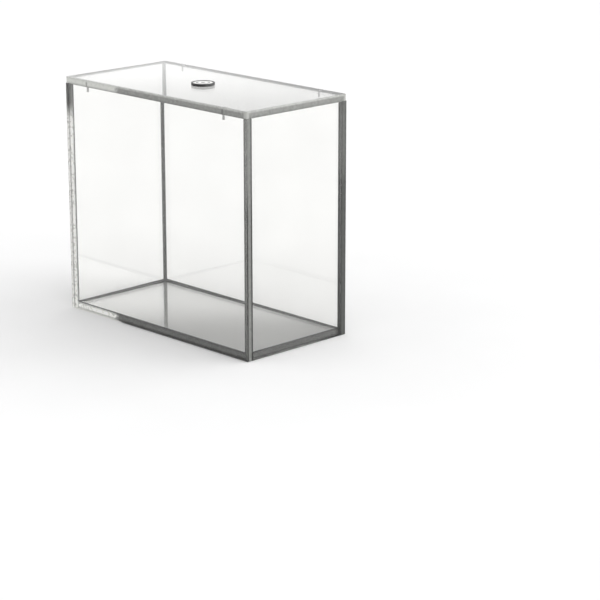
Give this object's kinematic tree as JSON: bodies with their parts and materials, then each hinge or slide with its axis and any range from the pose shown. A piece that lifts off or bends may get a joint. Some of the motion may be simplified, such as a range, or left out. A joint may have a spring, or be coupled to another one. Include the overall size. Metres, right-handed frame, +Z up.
{
  "type": "acrylic display case",
  "caption": "Clear acrylic display case: upright box of cemented flat panels with a flat magnetic lid that slides lengthwise on the top edges of the walls.",
  "frame": {"origin": "middle of the footprint, on the surface that the case stands on", "axes": "+X along the long side, front at -Y, +Z up"},
  "size_m": [0.202, 0.101, 0.186],
  "materials": {
    "clear_acrylic": "clear cast acrylic sheet, polished faces",
    "badge_black": "black moulded plastic",
    "badge_white": "white plastic disc",
    "magnet_nickel": "nickel plated magnet"
  },
  "bodies": {
    "case": {"floor_panel": "clear_acrylic", "front_panel": "clear_acrylic", "back_panel": "clear_acrylic", "left_panel": "clear_acrylic", "right_panel": "clear_acrylic", "wall_magnet_front_left": "magnet_nickel", "wall_magnet_front_right": "magnet_nickel", "wall_magnet_back_left": "magnet_nickel", "wall_magnet_back_right": "magnet_nickel"},
    "lid": {"lid_panel": "clear_acrylic", "badge_base": "badge_black", "badge_inlay": "badge_white", "lid_magnet_front_left": "magnet_nickel", "lid_magnet_front_right": "magnet_nickel", "lid_magnet_back_left": "magnet_nickel", "lid_magnet_back_right": "magnet_nickel"}
  },
  "joints": [
    {"name": "lid_slide", "type": "slide", "parent": "case", "child": "lid", "axis": [1, 0, 0], "range_m": [-0.197, 0.197]}
  ]
}
